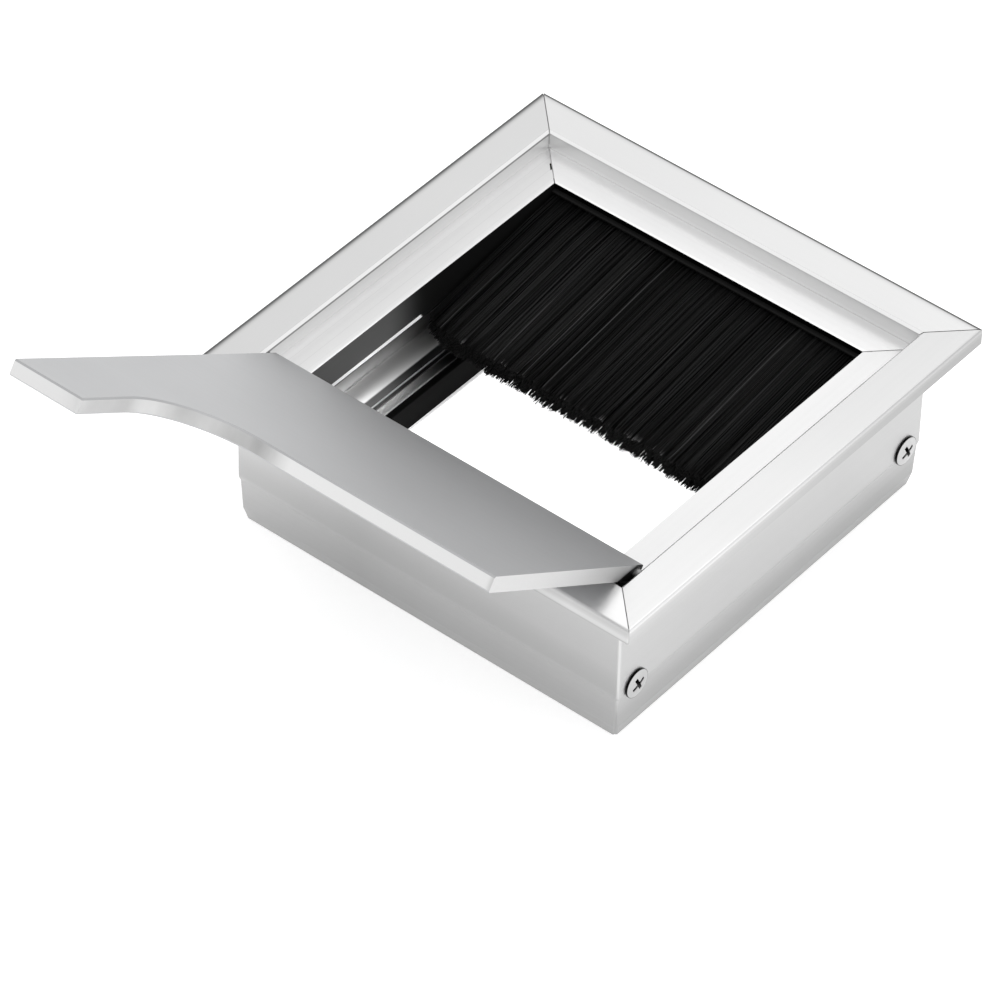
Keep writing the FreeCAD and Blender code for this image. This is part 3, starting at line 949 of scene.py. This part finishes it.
# %% Bristle material
def nylon(name):
    """Black filament whose tone, painted light and shade included, and gloss follow the mesh's tone
    number.
    """
    material, tree, shader = new_material(name)
    tone_node = tree.nodes.new("ShaderNodeAttribute")
    tone_node.attribute_name = "tone"
    value = tone_node.outputs["Fac"]
    black = blend(tree, value, grey(0.0005), grey(0.048))
    # Painted highlight: tones above 1.3 turn into pale glints at the tips.
    glint = soft_step(tree, value, 1.3, 1.9)
    tree.links.new(blend(tree, glint, black, grey(0.12)), shader.inputs["Base Color"])
    tree.links.new(remap(tree, value, 0.60, 0.42), shader.inputs["Roughness"])
    shader.inputs["Specular IOR Level"].default_value = BLACK_GLOSS
    return material


bristles.data.materials.append(nylon("bristle_nylon"))
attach(bristles, "frame")
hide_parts("brush_bristles")
print("the bristles ride on the frame in", bristles.data.materials[0].name)

# %% [markdown]
# ## Floor
#
# The picture is a plain studio shot on white. The floor is a large pale sheet at the
# height of the frame's feet, and it gives off a little light of its own, so that it
# stays white beside the metal. Through the opening the picture shows pure white, with
# no shadow, so a smaller and brighter sheet lies there, just above the floor.

# %% White sheets
def white_sheet(name, material_name, size, height, glow):
    """Level white square of a size and height in metres that gives off some light itself."""
    bpy.ops.mesh.primitive_plane_add(size=size, location=(0, 0, height))
    sheet = bpy.context.object
    sheet.name = name
    material, _, shader = new_material(material_name)
    shader.inputs["Base Color"].default_value = (0.92, 0.92, 0.92, 1)
    shader.inputs["Roughness"].default_value = 0.9
    shader.inputs["Specular IOR Level"].default_value = 0.1
    shader.inputs["Emission Color"].default_value = (1, 1, 1, 1)
    shader.inputs["Emission Strength"].default_value = glow
    sheet.data.materials.append(material)
    return sheet


floor_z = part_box("frame_front")[0].z
sheet_half_width = 27.4 * MM
floor = white_sheet("studio_floor", "floor_sheet", size=12, height=floor_z, glow=0.45)
lit_sheet = white_sheet(
    "lit_sheet", "lit_sheet", size=2 * sheet_half_width, height=floor_z + 0.1 * MM, glow=1.1)
print("floor at z", round(floor_z, 5))

# %% [markdown]
# ## Light
#
# A bright even surround lights everything softly, and two large soft panels give the
# flat faces their slow change of tone. Little of that reaches the channel inside the
# frame, where white surroundings would shine up through the opening. Two very small
# lamps stand in for them. They sit below the place of the shut lid, so that they never
# cut through it, and the camera doesn't see them.

# %% Lamps
world = bpy.data.worlds.new("studio")
bpy.context.scene.world = world
world.use_nodes = True
surround = world.node_tree.nodes["Background"]
surround.inputs["Color"].default_value = (1, 1, 1, 1)
surround.inputs["Strength"].default_value = 0.90


def soft_panel(name, place, size, power, target=(0, 0, 0)):
    """Square area light that faces a target: the object's middle, unless one is given."""
    light = bpy.data.lights.new(name, "AREA")
    light.size = size
    light.energy = power
    lamp = bpy.data.objects.new(name, light)
    lamp.location = place
    lamp.rotation_euler = (Vector(place) - Vector(target)).to_track_quat("Z", "Y").to_euler()
    bpy.context.collection.objects.link(lamp)
    return lamp


soft_panel("panel_back", (-0.05, 0.28, 0.42), size=0.30, power=0.27)
soft_panel("panel_front", (0.9, -1.1, 0.9), size=0.9, power=2.0)
inner_fill = soft_panel(
    "inner_fill", (0.021, -0.016, -0.013), size=0.010, power=0.0012, target=(-0.033, -0.014, -0.019))
low_fill = soft_panel(
    "low_fill", (-0.012, -0.016, -0.0042), size=0.004, power=0.0009, target=(-0.031, -0.014, -0.0245))
low_fill.data.spread = math.radians(70)
for lamp in (inner_fill, low_fill):
    lamp.visible_camera = False
    print(lamp.name, "is hidden from the camera")

# %% [markdown]
# ## Camera
#
# The picture is taken from the front right, about as far above the desk as beside it,
# with a long lens, so that parallel edges stay nearly parallel. The camera is turned a
# little about its own line of sight too. Its three axes are worked out from the angles
# and put straight into its matrix, which keeps each angle readable.

# %% Viewpoint
camera_azimuth = math.radians(38.39)
camera_elevation = math.radians(43.37)
camera_roll = math.radians(1.54)
camera_distance = 0.870
camera_lens = 229.57
look_at = Vector((0.01053, -0.03136, 0.0))


def camera_axes():
    """The camera's right, up and back directions, turned by its roll."""
    flat = math.cos(camera_elevation)
    back = Vector((
        math.sin(camera_azimuth) * flat, -math.cos(camera_azimuth) * flat, math.sin(camera_elevation)))
    right = Vector((0, 0, 1)).cross(back).normalized()
    above = back.cross(right)
    cosine = math.cos(camera_roll)
    sine = math.sin(camera_roll)
    return cosine * right + sine * above, cosine * above - sine * right, back


right, above, back = camera_axes()
camera_data = bpy.data.cameras.new("camera")
camera_data.sensor_width = 36
camera_data.lens = camera_lens
camera = bpy.data.objects.new("camera", camera_data)
turned = Matrix((right, above, back)).transposed().to_4x4()
camera.matrix_world = Matrix.Translation(look_at + camera_distance * back) @ turned
bpy.context.collection.objects.link(camera)
bpy.context.scene.camera = camera
bpy.context.scene.view_settings.view_transform = "Standard"
print("camera at", [round(part, 4) for part in camera.matrix_world.translation])
